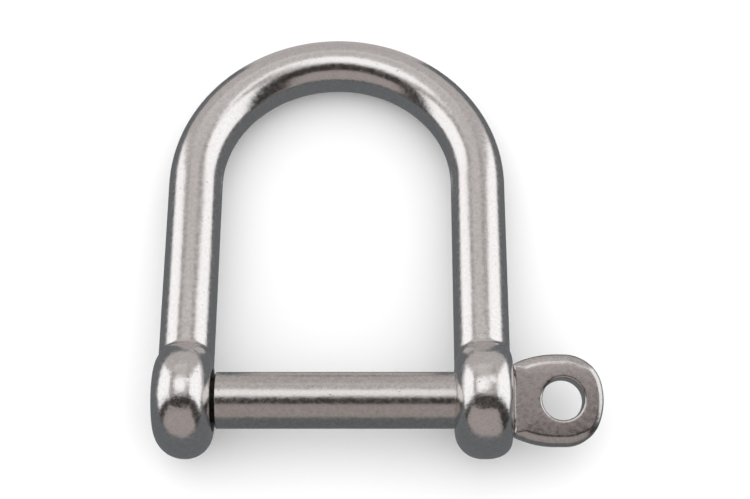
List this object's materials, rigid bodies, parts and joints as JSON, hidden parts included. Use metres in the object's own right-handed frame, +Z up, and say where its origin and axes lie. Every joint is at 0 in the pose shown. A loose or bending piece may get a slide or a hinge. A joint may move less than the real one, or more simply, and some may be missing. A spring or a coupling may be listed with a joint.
{
  "type": "dee shackle",
  "caption": "Wide-mouthed D-shaped shackle of round stainless bar, closed by a screw pin with a flat eye, for joining rope, chain or webbing to an eye or a plate.",
  "frame": {"origin": "middle of the pin's axis, halfway between the two ears", "axes": "+X along the pin towards its eye, +Y from the pin towards the crown, +Z up. The shackle lies on its side as it rests on a flat surface, on both ears and the crown, so the bow's plane dips 4.36 degrees towards the crown from horizontal and the surface is at z = -8.25 mm"},
  "size_m": [0.0633, 0.0683, 0.0164],
  "materials": {
    "bow_steel": "tumble-polished stainless steel with a fine grain",
    "pin_steel": "polished stainless steel shank with a coarser, satin eye"
  },
  "bodies": {
    "bow": {"bow": "bow_steel"},
    "pin": {"screw_pin": "pin_steel"}
  },
  "joints": [
    {"name": "pin_withdraw", "type": "slide", "parent": "bow", "child": "pin", "axis": [1, 0, 0], "range_m": [0, 0.06]}
  ]
}
